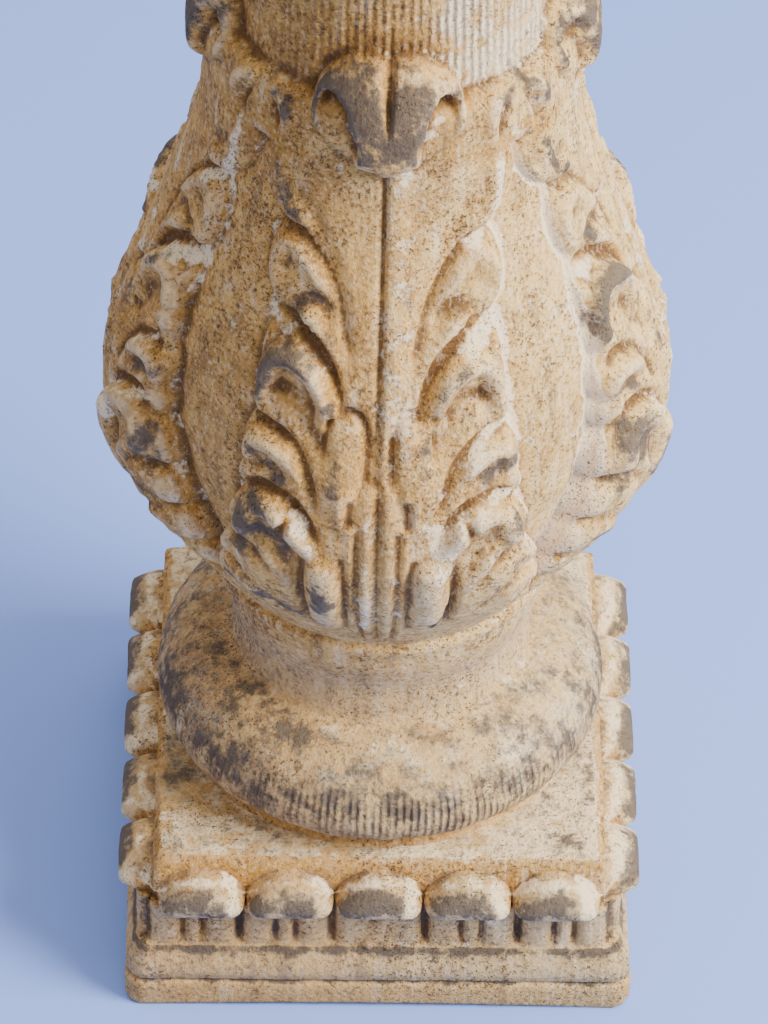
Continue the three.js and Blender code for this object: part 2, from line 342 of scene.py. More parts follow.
def panel_cuts(z):
    """Depth of the cuts in the panels of each side: a gap between lobes, and two grooves beside
    a tongue. The middle panel of the front is left nearly plain, with one hole."""
    from_middle = np.abs(lobe_share - 0.5) * LOBE_PITCH
    from_gap = np.minimum(lobe_share, 1 - lobe_share) * LOBE_PITCH
    grooves = 2.6 * gouged(from_middle - 3.3, 1.8)
    rounded = 0.9 * ease(8.5, 14.5, from_middle) - 0.5 * bump(from_middle - 9, 4.5)
    gaps = 3.6 * gouged(from_gap, 2.2)
    side = (grooves + rounded + gaps) * ease(PLINTH_TOP, PLINTH_TOP + 3, z)
    front = np.where(np.abs(stations) < 0.42 * LOBE_PITCH, side - 0.85 * grooves, side)
    hole_at, hole_height = PANEL_HOLE
    front = front + 3.5 * bump(np.hypot(stations - hole_at, z - hole_height), 2.8)
    return np.stack([front, side, side, side])


def panel_rings():
    """The sunk panels: soot and ochre in their cuts, a little chalk on the rest."""
    rings = []
    for height in PANEL_HEIGHTS:
        cuts = panel_cuts(height)
        deep = np.clip(cuts / 2.5, 0, 1)
        chalk = 0.2 * (1 - deep) * (height > PLINTH_TOP + 0.5)
        rings.append(square_ring(PANEL_HALF - cuts, height, PANEL_CORNER, PANEL_RUN,
                                 soot=0.9 * deep, chalk=chalk, ochre=deep))
    return rings


def lobe_rings():
    """The row of round lobes: each ring has one tilt, from their undersides to their tops.

    Their plan is nearly square below and rounder towards the top. Soot lies on the front,
    chalk on the brow and down the right side, and ochre in the gaps."""
    rings = []
    for tilt in LOBE_TILTS:
        angle = math.radians(tilt)
        rise = LOBE_RISE * arch if tilt > 0 else LOBE_DROP
        fullness = 9 - 6.4 * ease(-10, 55, tilt)
        depth = (LOBE_REACH - LOBE_WALL) * (0.15 + 0.85 * (1 - off_middle ** fullness) ** 0.6)
        front = bump(tilt - 22, 60) * (1 - ease(0.5, 1.0, off_middle + 0.25 * across_lobe))
        right_side = band(0.35, 0.6, 0.8, 0.95, across_lobe)
        brow = np.maximum(bump(tilt - 64, 24), right_side)
        rings.append(square_ring(
            LOBE_WALL + depth * math.cos(angle), LOBE_MIDDLE + rise * math.sin(angle),
            LOBE_CORNER, SLAB_HALF,
            soot=front, chalk=0.9 * brow, ochre=ease(0.86, 0.97, off_middle)))
    return rings


def slab_rings():
    """The wall over the lobes, and the slab's edge up to the rim of its flat top."""
    over_lobes = np.minimum(LOBE_MIDDLE + LOBE_RISE * arch + 1.0, SPANDREL_TOP)
    rings = [square_ring(LOBE_WALL, over_lobes, LOBE_CORNER, SLAB_HALF, ochre=1.0)]
    for outward, height, ochre, chalk in SLAB_EDGE:
        rings.append(rounded_square(SLAB_HALF + outward, height, CRISP_CORNER,
                                    soot=0.6 * chalk, chalk=chalk, ochre=ochre))
    return rings


# Torus, hollowed neck and lip

TORUS_CENTRE = 53.0
TORUS_MIDDLE = SLAB_TOP + 17.7
TORUS_RISE = TORUS_TOP - TORUS_MIDDLE
TORUS_DROP = 18.2
JOINT_PROFILE = ((72.4, 0), (71.3, 0.1), (71.0, 1.1), (69.6, 2.0))
LIP_PROFILE = ((-0.2, 5.5), (0.3, 3.5), (-0.2, 1.6), (-1.6, 0.5))


def foot_profile():
    """Radius and height of the turned foot, from its joint on the slab up to the lip's top."""
    points = [(radius, SLAB_TOP + rise) for radius, rise in JOINT_PROFILE]
    reach = TORUS_RADIUS - TORUS_CENTRE
    for degrees in np.linspace(-50, 82, 16):
        angle = math.radians(degrees)
        rise = TORUS_DROP if degrees < 0 else TORUS_RISE
        points.append((TORUS_CENTRE + reach * math.cos(angle), TORUS_MIDDLE + rise * math.sin(angle)))
    flare = LIP_RADIUS - 1 - NECK_RADIUS
    length = LIP_TOP - 8 - TORUS_TOP
    for t in np.linspace(0, 1, 9):
        hollow = flare * ease(0.25, 1, t) + 1.6 * bump(t, 0.35)
        points.append((NECK_RADIUS + hollow, TORUS_TOP + 1 + t * length))
    points += [(LIP_RADIUS + outward, LIP_TOP - drop) for outward, drop in LIP_PROFILE]
    return points


def foot_rings(angles):
    """The turned foot: ochre in the joint, rasp marks low on the torus, chalk and soot above."""
    rings = []
    for radius, height in foot_profile():
        lower = band(SLAB_TOP + 3, SLAB_TOP + 8, SLAB_TOP + 20, SLAB_TOP + 34, height)
        upper = band(SLAB_TOP + 14, SLAB_TOP + 27, TORUS_TOP - 1, TORUS_TOP + 2, height)
        joint = bump(height - SLAB_TOP - 1.3, 1.3)
        slab = SLAB_CHALK * (height == SLAB_TOP)
        rings.append(round_ring(radius, height, angles, soot=0.6 * slab + 0.6 * upper + 0.3 * lower,
                                chalk=slab + 0.45 * upper, ochre=joint, rasped=lower))
    return rings


# Broad form of the body: the ground of the bare strips, and the crown of the leaves over it

ground = smooth_curve([
    (150, 55.5), (168, 63), (189, 70.7), (220, 78.5), (241, 80.6), (272, 78.5), (298, 71.8),
    (324, 64), (350, 57.7), (376, 53.4), (408, 51), (440, 50),
])
crown = smooth_curve([
    (150, 56.4), (160, 63.6), (168, 69.2), (177, 76), (185, 81.8), (194, 87), (202, 90.8),
    (211, 93.6), (222, 95.2), (235, 95), (252, 92.4), (268, 87.2), (285, 81.6), (302, 76), (318, 71),
    (335, 65.6), (351, 61.8), (365, 60.4), (390, 57), (408, 51.5),
])

WIDEST_EDGE = 44.4

# Notches down one edge of a leaf: height, degrees from the midrib, and how far the lobe
# above the notch bulges past the line of the notches
NOTCHES = np.array([
    (STRIP_FOOT, WIDEST_EDGE, 0.5), (191, 41.2, 1.2), (207.5, 37, 1.8), (223, 33, 2.6), (243.5, 29.6, 2.2),
    (256.5, 29.8, 2.6), (273.5, 28.8, 1.8), (285.5, 28.8, 2.4), (310, 28.6, 5.2), (340, 30, 7),
    (STRIP_TOP, 40.5, 0),
])


def leaf_edge(z):
    """Degrees from the midrib to the leaf's edge, and how full the lobe is, 0 in a notch."""
    heights, degrees, bulges = NOTCHES.T
    i = np.clip(np.searchsorted(heights, z, side="right") - 1, 0, len(heights) - 2)
    share = np.clip((z - heights[i]) / (heights[i + 1] - heights[i]), 0, 1)
    bow = np.sqrt(np.clip(1 - (2 * share - 1) ** 2, 0, 1))
    line = degrees[i] + share * (degrees[i + 1] - degrees[i])
    below, above = z < heights[0], z > heights[-1]
    edge = np.where(below, degrees[0], np.where(above, degrees[-1], line + bulges[i] * bow))
    full = np.where(below | above, 1.0, bow)
    return edge, full


# Carving of each half leaf

# What stands up: how high, how wide above and below the line, and the line's corners
RIMS = [
    # Rims that curl along the upper edges of the seven lobes, from the tip down
    stroke(1.6, 3, 6, (35, 362), (33.5, 353), (29.5, 346), (25, 346), (20, 350)),
    stroke(2.3, 3.2, 6, (31, 318), (31.5, 328), (28, 334.6), (22, 332.6), (16.5, 325), (12, 315)),
    stroke(5, 3.8, 6.2, (28.6, 276), (28.6, 289), (26, 296.8), (21.2, 297.8), (16, 294.6), (12.9, 289),
           (11.3, 282), (11.6, 277.5), ends=(0.2, 0.6)),
    stroke(3.2, 3, 5, (29.6, 252), (29.4, 262), (27, 265.8), (23, 265.6), (19.2, 262), (16.4, 255)),
    stroke(4.8, 3.6, 6.4, (29.6, 224), (28.8, 238), (26, 242.6), (22.2, 243.4), (18.2, 240.4),
           (15.2, 234), (12.6, 226), ends=(0.3, 0.3)),
    stroke(1.4, 3.4, 6, (36.5, 208), (35, 216), (31, 219), (27, 216), (23.5, 208)),
    stroke(1.2, 3.4, 5.6, (40, 190), (37, 197.4), (32, 199.8), (27.5, 196), (25, 190)),
    # The long knob beside the reeds, and the small leaf over it with its rolled rim
    stroke(4.2, 6.6, 6.6, (10.9, 222), (10.4, 215), (10.6, 204), (11.2, 194), (11.8, 184), ends=(1, 0.5)),
    stroke(1.8, 6.2, 6.2, (7.2, 272), (7.3, 267), (8.6, 256), (9.8, 243), ends=(1, 0)),
    stroke(1, 3, 3, (10.8, 266), (9.6, 274.6), (6.8, 276.6), (4.6, 274.6), (4.2, 268), ends=(0, 0)),
    # Folds of the blade, and the curl on the shoulder
    stroke(1.6, 5, 5, (22, 316), (15, 303), (10.6, 288)),
    stroke(1.6, 3.6, 3.6, (27, 232), (21, 218), (17, 204)),
    stroke(2.4, 4, 4, (41, 388), (36.5, 386), (33.5, 379), (34, 371), ends=(1, 0.2)),
]

# What is cut in, written the same way with negative heights
CUTS = [
    # Between one lobe and the next, from the tip down
    stroke(-2.6, 2.6, 3.4, (34, 339), (28, 339), (24, 338), (17.5, 331), (12, 320.5), (9, 307), (6.5, 290)),
    stroke(-4.2, 3.2, 4.4, (31, 306), (27, 308.4), (23, 308.4), (17.2, 304.4), (13.3, 298), (11, 289.4),
           (9.7, 281), ends=(0.35, 0.6)),
    stroke(-2.8, 2.6, 3.4, (30, 271), (26.5, 271.4), (22.5, 270.4), (18.5, 266.8), (15.6, 260),
           (13, 249), (11, 238)),
    stroke(-3.2, 2.6, 3.4, (30, 247.5), (26, 249.6), (22, 249.6), (17.5, 246.4), (13.8, 239.6),
           (11.4, 233), (9, 229)),
    stroke(-1.4, 2.8, 3.6, (34, 222.6), (30, 224), (25.5, 221.4), (21, 214), (18, 204)),
    stroke(-1.2, 2.8, 3.6, (38.5, 206.8), (34, 206.4), (29, 202.8), (24, 195), (20, 185)),
    stroke(-1, 2.8, 3.6, (42, 191), (37, 189), (31, 184), (26, 176)),
    # Hollows under the rims, and a slot across the fifth rim
    stroke(-1, 4, 4, (30, 357), (22, 347), (14, 331), (9, 314), (5.5, 294)),
    stroke(-2.2, 4.6, 5, (26, 312), (19.5, 317.5), (14, 315), (11.4, 305)),
    stroke(-2.6, 4, 5, (31.5, 302.5), (27, 304.5), (21, 303.5)),
    stroke(-2.4, 5.6, 7.5, (24.4, 279), (22.6, 284.5), (19.2, 283.4), (16, 278), (14, 270), (12.2, 260)),
    stroke(-1.4, 4.2, 5.2, (26, 253.5), (23, 257), (19, 253.5), (15.5, 245)),
    stroke(-2.2, 5.4, 7, (25.6, 225), (22.5, 230.5), (19, 228), (16.8, 221), (15.6, 212)),
    stroke(-3.8, 1.9, 1.9, (17.4, 246), (18.7, 240), (20.6, 230), ends=(1, 0)),
    # Outlines of the long knob, the small leaf and the shoulder's curl
    stroke(-3, 2.2, 2.2, (15.6, 225), (15.9, 208), (16.1, 195), (15, 181), ends=(1, 0.4)),
    stroke(-2, 1.8, 1.8, (7, 227), (6.6, 212), (6.8, 198), (7.6, 178), ends=(0.6, 0.4)),
    stroke(-2.6, 2.1, 2.1, (12.2, 266), (11.8, 276), (9, 281.4), (5, 281.4), (2.9, 275), (2.6, 259),
           ends=(0.4, 0.8)),
    stroke(-2.8, 2.4, 2.4, (44.9, 393), (44.9, 380), (42.5, 372), (38, 367)),
    stroke(-2.2, 2.2, 2.2, (41, 381), (38, 377), (37.5, 369), ends=(1, 0.5)),
]

# Small drilled holes: degrees (negative to the left), height, radius, depth
HOLES = (
    (-11.4, 277.4, 2.8, 4.4), (12.2, 280.4, 2.3, 3.6), (11.2, 189, 2.9, 4.8),
    (-28, 178, 1.9, 2.6), (20.5, 226, 1.8, 2.6), (16.5, 197, 2.0, 2.6),
    (-22, 200, 1.8, 2.4), (-31, 207, 1.7, 2.2), (30, 209, 1.9, 2.6),
)

# The eye on each side of the reeds, and the heights where the reeds run out upwards
EYE_DEGREES = 5.8
EYE_HEIGHT = 247.5
EYE_HALF_LENGTH = 4.6
REEDS_FADE = (255.5, 259)


def stem_relief(signed, z):
    """The midrib: one crease near the tip, and flat reeds with an eye on each side lower down."""
    degrees = np.abs(signed)
    rib = bump(signed - 2.0, np.where(signed < 2, 2.6, 6.5)) - 1.3 * gouged(signed + 0.6, 1.2)
    reeds = (0.9 * band(0.5, 1.2, 3.2, 3.9, degrees) - 0.9 * gouged(degrees - 4.2, 0.9)
             + 0.6 * bump(degrees - 5.6, 1.3) - 0.7 * gouged(signed - 0.2, 0.9))
    past_end = np.maximum(0, np.abs(z - EYE_HEIGHT) - EYE_HALF_LENGTH)
    from_eye = np.hypot((degrees - EYE_DEGREES) * MM_PER_DEGREE, past_end)
    eye = 1.3 * bump(from_eye - 2.4, 1.6) - 1.5 * gouged(from_eye, 1.5)
    lower = 1 - ease(*REEDS_FADE, z)
    return rib * (1 - 0.65 * lower) + reeds * lower + eye


def leaf_relief(signed, z):
    """Height of the carving over the leaf's broad form: rims, cuts, stem and drilled holes."""
    degrees = np.abs(signed)
    rim = np.max([stroke_at(mark, degrees, z) for mark in RIMS], axis=0)
    cut = np.min([stroke_at(mark, degrees, z) for mark in CUTS], axis=0)
    relief = rim + cut + stem_relief(signed, z)
    for at, height, size, deep in HOLES:
        away = np.hypot((signed - at) * MM_PER_DEGREE, z - height)
        relief = relief - deep * bump(away, size)
    return relief * band(LEAF_FOOT + 1, LEAF_FOOT + 14, SHOULDER_TOP - 4, SHOULDER_TOP + 3, z)


# Turned-over tips of the leaves

TIP_MIDDLE = 389.5
TIP_HALF_HEIGHT = 20.0
TIP_HALF_DEGREES = 25.5
TIP_NOSE = 0.26
TIP_BELLY = 60.5
TIP_BACK = 50.0
CHEEK_FLOOR = 1.5
SPLIT_LINE = 0.5
SPLIT_FOOT = 385.5
SPLIT_LENGTH = 20.0
SPLIT_DEPTH = 4.4

# Middle line of the hollow cheek beside the tongue
CHEEK = stroke(1, 9.2, 9.2, (17.2, 388.2), (16.2, 383), (13.8, 377.5), ends=(1, 1))


def tip_outline(degrees, z):
    """0 on the middle of the tip to 1 on its outline, which is a broad oval."""
    narrowing = np.clip(1 - ((z - TIP_MIDDLE) / TIP_HALF_HEIGHT) ** 2, 0.02, 1) ** 0.5
    return np.clip(degrees / (TIP_HALF_DEGREES * narrowing), 0, 1)


def tip_hollow(degrees, z):
    """1 inside the hollow cheeks, 0 outside them."""
    away, _ = from_stroke(CHEEK, degrees, z)
    return 1 - ease(0.64, 1.0, away)


def tip_split(signed, z):
    """The V-shaped groove down the tongue: a wide wall on its left and a steep one on its right."""
    opening = np.clip((z - SPLIT_FOOT) / SPLIT_LENGTH, 0, 1)
    wall = np.where(signed < SPLIT_LINE, 4.6, 2.2)
    across = (signed - SPLIT_LINE) / (0.4 + wall * opening)
    return np.clip(1 - np.abs(across), 0, 1) * ease(0, 0.12, opening)


def tip_radius(signed, z, around):
    """Radius of a leaf's turned-over tip: a split rim and a tongue, over a hollow on each side.

    around is the radius without the tip. The tip reaches furthest at its nose, near its foot."""
    degrees = np.abs(signed)
    up = (z - TIP_FOOT) / (TIP_TOP - TIP_FOOT)
    within = (up > 0) & (up < 1)
    past_nose = np.maximum(0, up - TIP_NOSE) / (1 - TIP_NOSE)
    belly = TIP_BELLY + (TIP_REACH - TIP_BELLY) * np.sqrt(np.clip(1 - (1 - up / TIP_NOSE) ** 2, 0, 1))
    back = TIP_BACK + (TIP_REACH - TIP_BACK) * np.sqrt(np.clip(1 - past_nose ** 2.5, 0, 1))
    rise = np.maximum(0, np.where(up < TIP_NOSE, belly, back) - around)
    rise = rise * (1 - tip_outline(degrees, z) ** 3) ** 0.5
    split = SPLIT_DEPTH * tip_split(signed, z) * ease(0, 2.5, rise)
    hollow = tip_hollow(degrees, z)
    lifted = rise * (1 - hollow) + np.minimum(rise, CHEEK_FLOOR) * hollow - split
    return np.where(within, np.maximum(around + lifted, around - 0.6), 0)


def tip_soot(signed, z):
    """Grey-black weathering over the tip's rim and tongue. It thins to the right and along the rim's top,
    and stays off the split's lit left wall, as painted highlight.
    """
    degrees = np.abs(signed)
    inside = (1 - ease(0.93, 1.0, tip_outline(degrees, z))) * band(372, 376, 406.5, 409, z)
    # Painted highlight: no soot on the split's lit left wall, and less to the right and along the rim's top
    lit_wall = tip_split(signed, z) * (signed < 0.6)
    highlighted = 0.5 * ease(6, 20, signed) + 0.4 * bump(z - 403.5, 5) * ease(-10, 4, signed)
    return inside * (1 - tip_hollow(degrees, z)) * (1 - highlighted) * (1 - lit_wall) ** 2


# Leaves: columns, rows and surface

STEM_END = 9.0
STEM_COLUMNS = 12
WALL_OFFSETS = np.array([0.35, 0.8])
WALL_LIMITS = np.array([WIDEST_EDGE, WIDEST_EDGE + 0.2])
STRIP_COLUMNS = 6
BLADE_COLUMNS = HALF_COLUMNS - STEM_COLUMNS - len(WALL_OFFSETS) - STRIP_COLUMNS
SHOULDER_ROUND = 7.0


def carved_radius(signed, z, edge, full):
    """Radius of the carved surface. edge and full are the leaf's edge and its lobe's fullness."""
    degrees = np.abs(signed)
    plain = ground(z)
    proud = crown(z) - plain

    # The leaves are joined below and above the bare strips, and have free edges beside them
    joined = np.maximum(1 - ease(STRIP_FOOT - 6, STRIP_FOOT + 2, z), ease(STRIP_TOP - 1, STRIP_TOP + 1.5, z))
    free = 1 - joined
    soften = 0.3 * ease(edge - 13, edge, degrees) + 0.4 * (1 - full) * ease(edge - 7, edge, degrees)
    round_off = 1.6 * ease(edge - 2.4, edge, degrees) ** 2
    blade = plain + proud * (1 - soften * (1 - 0.7 * joined)) + leaf_relief(signed, z) - round_off * free
    strip = plain + joined * proud * 0.8 - 0.8 * bump(degrees - edge - 1.4, 3.0) * free
    wall = ease(edge, edge + WALL_OFFSETS[-1], degrees)
    radius = np.maximum(blade, plain - 1) * (1 - wall) + strip * wall

    # The shoulders round off to the bare shaft
    past = np.maximum(0, z - SHOULDER_TOP + SHOULDER_ROUND) / (SHOULDER_ROUND + 0.5)
    rounded = plain + (radius - plain) * np.sqrt(np.clip(1 - past ** 2, 0, 1))
    radius = np.where(z > SHOULDER_TOP - SHOULDER_ROUND, rounded, radius)
    return np.maximum(radius, tip_radius(signed, z, radius))


def half_columns(edge):
    """Degrees of the columns from the stem out to the strip's middle, for each row's edge."""
    rows = edge[:, None]
    stem = np.arange(1, STEM_COLUMNS + 1) / STEM_COLUMNS * STEM_END
    stem = np.broadcast_to(stem, (len(edge), STEM_COLUMNS))
    shares = (np.arange(1, BLADE_COLUMNS + 1) / BLADE_COLUMNS) ** 0.9
    blade = STEM_END + shares * (rows - STEM_END)
    wall = np.minimum(rows + WALL_OFFSETS, WALL_LIMITS)
    foot = wall[:, -1:]
    first = np.minimum(1.0, 0.3 * (STRIP_MIDDLE - foot))
    rest = foot + first + (np.arange(1, STRIP_COLUMNS) / STRIP_COLUMNS) * (STRIP_MIDDLE - foot - first)
    return np.hstack([stem, blade, wall, foot + first, rest])


def leaf_heights():
    """Heights of the body's rings: closest where the carving is finest."""
    bands = [(LEAF_FOOT, 170, 7), (170, 312, 84), (312, 362, 22), (362, 410, 27)]
    heights = [np.linspace(start, stop, count, endpoint=False) for start, stop, count in bands]
    heights.append(np.linspace(410, COLLAR_FOOT, 3))
    return np.concatenate(heights)


def leaf_grid(leaf, z):
    """Degrees from the midrib, leaf edge and fullness of the lobes at each point of one leaf.

    The two edges of each leaf wander a little, each in its own way."""
    halves = []
    for side in (-1, 1):
        wobble = noise_up(z, 70 * leaf, 40 * side, 17.0)
        drift = noise_up(z, 31 * leaf, side, 40.0)
        edge, full = leaf_edge(z + 1.5 * drift)
        edge = np.clip(edge + 0.5 * wobble, 0, WIDEST_EDGE)
        halves.append((half_columns(edge), edge, full))
    (left, left_edge, left_full), (right, right_edge, right_full) = halves
    rows = np.ones((len(z), 1))
    signed = np.hstack([-STRIP_MIDDLE * rows, -left[:, ::-1], 0 * rows, right])
    edge = np.where(signed < 0, left_edge[:, None], right_edge[:, None])
    full = np.where(signed < 0, left_full[:, None], right_full[:, None])
    return signed, edge, full


# Stains of every leaf, as they lie on the front one; among them are some painted shade and a painted
# highlight. The ochre wash is the same on both halves.
SOOT = smears(
    (0.9, 4.5, (-26, 344), (-31, 349), (-34.5, 360)),
    (0.8, 5, (-14, 317), (-18, 319), (-25, 312)),
    (1.2, 5, (-17, 297), (-24, 298), (-28, 293), (-28.5, 282)),
    (1.2, 3, (-11.4, 276), (-12, 284)),
    (0.9, 4.5, (-21, 252), (-25, 259), (-29, 262)),
    (1.1, 5, (-23, 243), (-27.5, 242), (-29, 234)),
    (1, 9, (-18, 226), (-23, 231), (-29, 223)),
    (1, 6, (-11, 204), (-11, 217)),
    (0.9, 4.2, (-9, 255), (-9, 268)),
    (0.9, 5, (31, 263), (26, 259), (22, 254)),
    (0.8, 6, (30, 238), (31, 222)),
    (0.8, 4, (10, 276), (10, 262)),
    (0.9, 4, (11.5, 186), (16, 198)),
    (0.7, 3, (22, 301), (14.5, 290)),
    (0.8, 6, (44, 388), (38, 380)),
    (0.9, 7, (-38, 384), (-44, 390)),
    (0.8, 4, (-34, 385), (-33, 375)),
    (0.8, 7, (-16, 186), (-24, 194), (-34, 196)),
    (0.6, 7, (22, 196), (32, 212)),
)
CHALK = smears(
    (1.2, 4, (33, 308), (27, 304.5), (20, 301)),
    (1.2, 3.5, (37, 366), (34.5, 346), (30, 339), (24, 335.4)),
    (0.9, 2.8, (29, 247.8), (22.8, 246.5), (17.7, 242), (15.3, 235.9)),
    (0.9, 2.6, (30, 273), (26, 271.5), (22, 267.5), (20.4, 262)),
    (1, 7, (13, 238), (12.5, 224)),
    # Painted highlight: a broad pale band on the midrib's right flank, which faces the light
    (0.5, 9.5, (6, 368), (4.2, 320), (3.8, 285), (2.4, 256)),
    (0.5, 2.2, (3.4, 234), (5, 200), (7, 168)),
    (1, 4, (-30, 305.5), (-25, 304)),
    (0.7, 2.8, (-2.4, 257), (-2.2, 234), (-2, 215), (-3, 184)),
    (0.9, 3.4, (-12.4, 227), (-14.2, 235), (-17.4, 242.5)),
    (0.8, 3, (-11.8, 287), (-14, 293), (-18, 298)),
    (0.5, 2.4, (-5, 276.6), (-6.5, 277.4), (-8, 276)),
    (0.9, 3.6, (20, 392), (13, 381), (9, 375)),
)
OCHRE = smears(
    (1.3, 3.4, (24, 309.6), (18, 306.8), (14, 300.6), (11.4, 292), (9.6, 281)),
    (1.2, 2.2, (3.2, 281), (3, 270), (3.2, 258)),
    (1.1, 2.2, (17.6, 244), (18.7, 239), (20.4, 231.5)),
    # Painted shade under the tip's tongue and under the shoulder's curl
    (1, 6, (9, 371), (0, 368)),
    (1, 5, (45, 372), (36, 367), (27, 369)),
    (0.8, 2.6, (28, 339.4), (24, 338.4), (17.5, 331.4), (12, 321), (9, 307)),
    # Painted shade along the tip's top edge against the neck, and along the midrib's crease
    (1.2, 3, (27, 388), (26, 397), (21, 405), (12, 410), (-1, 411)),
    (0.9, 2.2, (-1, 366), (-1.2, 320), (-1.4, 290), (-1.6, 262)),
)


def leaf_surface(leaf, z):
    """One leaf with the strips' halves beside it: points and stains, one row for each height."""
    signed, edge, full = leaf_grid(leaf, z)
    heights = np.broadcast_to(z[:, None], signed.shape)

    # Away from the stem, the carving is drawn a little differently on each leaf
    seat = np.stack([signed * MM_PER_DEGREE + 200 * leaf, heights, np.zeros_like(signed)], -1)
    loose = ease(5, STEM_END, np.abs(signed)) * (np.abs(signed) < STRIP_MIDDLE - 1)
    shift = 0.45 * value_noise(seat, 13.0) * loose
    sway = 0.8 * value_noise(seat + 50, 15.0) * loose
    at = np.clip(signed + shift, -STRIP_MIDDLE, STRIP_MIDDLE)
    up = heights + sway
    radius = carved_radius(at, up, edge + shift * np.sign(signed), full)
    angles = np.radians(leaf * QUARTER_TURN + signed + LEAF_TURN + FRONT)
    x, y = radius * np.cos(angles), radius * np.sin(angles)

    # Chalk borders the leaf on the strips, thicker on the lit side, where it is partly a painted highlight.
    # Ochre lies on the wall of its edge, partly as painted shade. The shaft is rasped all round, painted
    # pale with chalk on the lit side and darker with ochre on the shaded side
    bare = band(STRIP_FOOT, STRIP_FOOT + 8, STRIP_TOP - 4, STRIP_TOP, heights)
    beyond = np.abs(signed) - edge
    border = bump(beyond - 1.1, 2.8) * (beyond > -0.1) * bare
    wall = band(-0.6, 0.0, 0.4, 0.9, beyond) * bare
    shaft = ease(388, 394, heights) * (1 - ease(0.6, 1.8, radius - ground(heights)))
    weather_side = ease(-8, 22, x)
    soot = np.maximum(stain_at(SOOT, at, up), tip_soot(at, up))
    bordered = (0.6 + weather_side) * border
    chalk = np.max([stain_at(CHALK, at, up), bordered, 0.8 * shaft * weather_side], axis=0)
    ochre = np.max([stain_at(OCHRE, np.abs(at), up), wall, 0.5 * shaft * (1 - weather_side)], axis=0)
    return np.stack([x, y, heights, soot, chalk, ochre, shaft], -1)


def leaf_rings():
    """The body with its four leaves, from the lip to the collar."""
    z = leaf_heights()
    return list(np.concatenate([leaf_surface(leaf, z) for leaf in range(LEAF_COUNT)], axis=1))


def even_angles():
    """Angles of the columns on a plain round ring: evenly spread, in step with the leaves."""
    inner = np.linspace(-STRIP_MIDDLE, STRIP_MIDDLE, QUARTER_COLUMNS + 1)[1:-1]
    quarter = np.concatenate([[-STRIP_MIDDLE], inner])
    turns = [quarter + QUARTER_TURN * leaf for leaf in range(LEAF_COUNT)]
    return np.radians(np.concatenate(turns) + LEAF_TURN + FRONT)


# Collar and top plate

COLLAR_NECK = ((50.6, 0.6), (51.4, 1.4))
COLLAR_RADIUS = 52
COLLAR_BULGE = 8
COLLAR_HALF_HEIGHT = 5
COLLAR_MIDDLE = COLLAR_FOOT + 7
COVE_FOOT = COLLAR_FOOT + 13
COVE_RADIUS = 54
COVE_REACH = 16
TOP_INNER_HALF = 25.0

# Edge of the top plate: how far out of its half width, and height over its bottom
PLATE_PROFILE = ((-3.2, 0), (-3, 0.6), (-3, 2.6), (-0.8, 4.6), (0, 6), (0, 12), (-0.5, 17.3),
                 (-1.4, 18), (-6, 18))


def top_rings(angles):
    """The round collar, the hollow moulding over it, and the square top plate."""
    profile = [(radius, COLLAR_FOOT + rise) for radius, rise in COLLAR_NECK]
    for degrees in np.linspace(-60, 60, 7):
        angle = math.radians(degrees)
        profile.append((COLLAR_RADIUS + COLLAR_BULGE * math.cos(angle),
                        COLLAR_MIDDLE + COLLAR_HALF_HEIGHT * math.sin(angle)))
    cove_height = PLATE_BOTTOM - COVE_FOOT - 0.3
    for t in np.linspace(0, 1, 6):
        angle = t * math.pi / 2
        profile.append((COVE_RADIUS + COVE_REACH * (1 - math.cos(angle)),
                        COVE_FOOT + cove_height * math.sin(angle)))
    rings = [round_ring(radius, height, angles) for radius, height in profile]
    for outward, rise in PLATE_PROFILE:
        rings.append(rounded_square(PLATE_HALF + outward, PLATE_BOTTOM + rise, CRISP_CORNER))
    rings.append(rounded_square(TOP_INNER_HALF, TOTAL_HEIGHT, INNER_CORNER))
    return rings


# One closed skin

MM_PER_METRE = 1000


def stone_skin():
    """All rings in order, x, y, z and the stains, with hand-cut unevenness added."""
    angles = even_angles()
    rings = plinth_rings() + panel_rings() + lobe_rings() + slab_rings()
    rings += foot_rings(angles) + leaf_rings() + top_rings(angles)
    skin = np.array(rings)
    points = skin[..., :3]
    heights = points[..., 2]
    outward = points * np.array([1, 1, 0])
    outward /= np.linalg.norm(outward, axis=-1, keepdims=True)
    rough = 0.30 * value_noise(points, 9.0) + 0.24 * value_noise(points + 90, 3.6)
    rough += 0.05 * rng.uniform(-1, 1, points.shape[:2])
    uneven = band(0.5, 4, TOTAL_HEIGHT - 4, TOTAL_HEIGHT - 1, heights)
    skin[..., :3] = points + outward * (rough * uneven)[..., None]
    return skin


def stone_mesh(points):
    """Quads between the rings, and a fan of triangles over the first and the last ring."""
    levels, around = points.shape[:2]
    index = np.arange(levels * around).reshape(levels, around)
    across = np.roll(index, -1, axis=1)
    quads = np.stack([index[:-1], across[:-1], across[1:], index[1:]], -1).reshape(-1, 4)
    bottom, top = levels * around, levels * around + 1
    vertices = np.vstack([points.reshape(-1, 3), [[0, 0, 0], [0, 0, TOTAL_HEIGHT]]]) / MM_PER_METRE
    caps = [(bottom, int(b), int(a)) for a, b in zip(index[0], across[0])]
    caps += [(top, int(a), int(b)) for a, b in zip(index[-1], across[-1])]
    mesh = bpy.data.meshes.new("pedestal_stone")
    mesh.from_pydata(vertices.tolist(), [], quads.tolist() + caps)
    mesh.update()
    mesh.shade_smooth()
    return mesh


# Guides for the patina, and for the highlight and shade painted on the relief

BROAD_PASSES = 12
FINE_PASSES = 3
FULLY_PROUD = 2.5
DEEP_CREASE = 0.4


